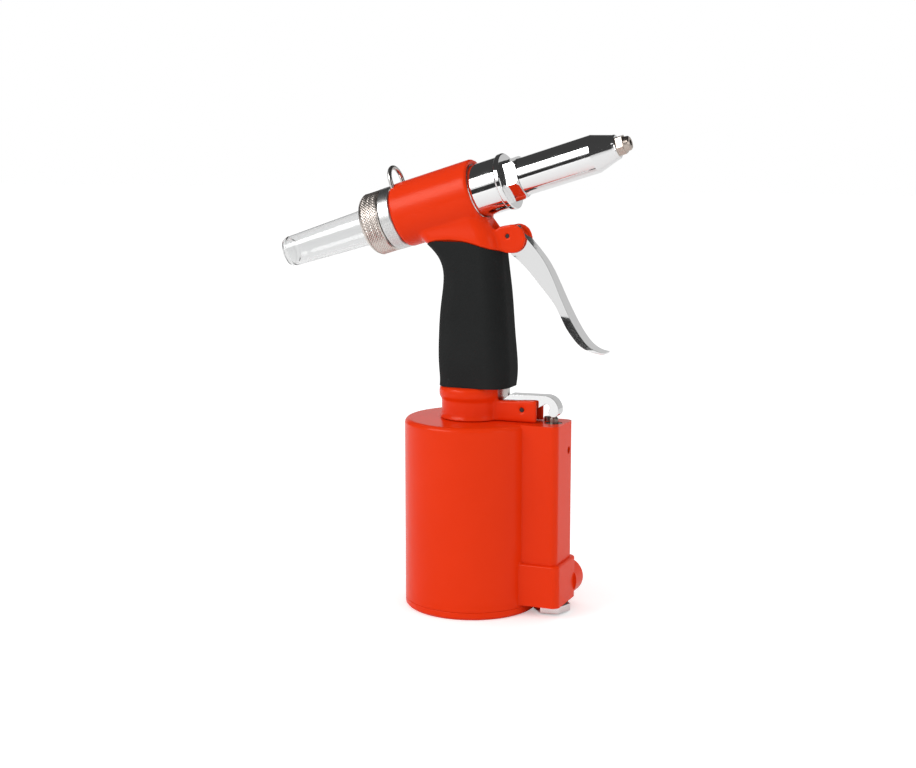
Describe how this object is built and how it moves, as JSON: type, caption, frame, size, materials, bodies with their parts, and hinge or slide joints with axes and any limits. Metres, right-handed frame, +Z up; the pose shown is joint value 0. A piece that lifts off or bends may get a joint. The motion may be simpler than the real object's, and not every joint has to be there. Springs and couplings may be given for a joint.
{
  "type": "pneumatic rivet gun",
  "caption": "Hand-held air-hydraulic blind rivet gun: upright air cylinder with valve chest, rubber grip, long trigger, tilted head with chrome nose and clear mandrel bottle.",
  "frame": {"origin": "centre of the base's bottom face, on the axis of the air cylinder and handle", "axes": "+Z up along the handle, +X toward the nose and trigger, +Y toward the side with the air inlet"},
  "size_m": [0.2344, 0.085, 0.2957],
  "materials": {
    "red_paint": "gloss red-orange enamel on cast aluminium",
    "grip_rubber": "matt fine-grained black rubber",
    "seal_rubber": "smooth nitrile",
    "chrome": "polished chrome plate",
    "steel": "turned steel",
    "zinc_steel": "zinc-plated steel",
    "bare_alloy": "turned bare aluminium",
    "brass": "turned brass",
    "clear_plastic": "clear moulded plastic"
  },
  "bodies": {
    "frame": {"handle_casting": "red_paint", "grip_sleeve": "grip_rubber", "air_cylinder": "red_paint", "base_cap": "red_paint", "cap_seal": "seal_rubber", "chest_plug": "chrome", "plug_seal": "seal_rubber", "inlet_strainer": "steel", "valve_sleeve": "brass", "sleeve_collar": "brass", "sleeve_screw": "steel", "handle_ring_nut": "steel", "ram_gland": "brass", "ram_seal": "seal_rubber", "front_gland": "chrome", "gland_seals": "seal_rubber", "nose_washer": "chrome", "lock_nut": "chrome", "frame_head": "chrome", "nosepiece": "steel", "return_spring": "steel", "end_cap": "bare_alloy", "bottle_seal": "seal_rubber", "guide_tube": "steel", "hanger": "zinc_steel", "trigger_pin": "steel", "rocker_pivot_pin": "steel", "valve_spring": "steel"},
    "trigger": {"trigger": "chrome", "upper_link_pin": "steel"},
    "pull_rod": {"pull_rod": "zinc_steel"},
    "rocker": {"rocker_lever": "chrome", "lower_link_pin": "steel"},
    "valve": {"valve_stem": "brass", "poppet_seal": "seal_rubber"},
    "ram": {"air_piston": "bare_alloy", "air_piston_seal": "seal_rubber", "ram_rod": "steel", "piston_nut": "steel"},
    "puller": {"head_piston": "steel", "head_piston_seal": "seal_rubber", "jaw_case": "steel", "jaws": "steel", "jaw_pusher": "steel", "jaw_spring": "steel"},
    "bottle": {"bottle_ring": "bare_alloy", "collector_bottle": "clear_plastic"}
  },
  "joints": [
    {"name": "trigger_squeeze", "type": "hinge", "parent": "frame", "child": "trigger", "pos_m": [0.0258, 0, 0.2348], "axis": [0, 1, 0], "range_deg": [0, 18], "stiffness_Nm_per_rad": 1.5, "springref_deg": -14.32},
    {"name": "pull_rod_lift", "type": "slide", "parent": "frame", "child": "pull_rod", "axis": [0, 0, 1], "range_m": [0, 0.0026]},
    {"name": "rocker_tilt", "type": "hinge", "parent": "frame", "child": "rocker", "pos_m": [0.036, 0, 0.1281], "axis": [0, 1, 0], "range_deg": [0, 11.07]},
    {"name": "valve_push", "type": "slide", "parent": "frame", "child": "valve", "axis": [0, 0, -1], "range_m": [0, 0.00376], "deforming": ["valve_spring"]},
    {"name": "ram_lift", "type": "slide", "parent": "frame", "child": "ram", "axis": [0, 0, 1], "range_m": [0, 0.07347], "stiffness_N_per_m": 380, "springref_m": -0.03},
    {"name": "jaw_pull", "type": "slide", "parent": "frame", "child": "puller", "axis": [-0.9562, 0, -0.2929], "range_m": [0, 0.016], "deforming": ["return_spring"]},
    {"name": "bottle_pull", "type": "slide", "parent": "frame", "child": "bottle", "axis": [-0.9562, 0, -0.2929], "range_m": [0, 0.012]}
  ],
  "couplings": [
    {"joint": "pull_rod_lift", "follows": "trigger_squeeze", "m_per_rad": 0.0082659},
    {"joint": "rocker_tilt", "follows": "trigger_squeeze", "ratio": 0.61494},
    {"joint": "valve_push", "follows": "trigger_squeeze", "m_per_rad": 0.011978},
    {"joint": "jaw_pull", "follows": "ram_lift", "ratio": 0.21778}
  ]
}
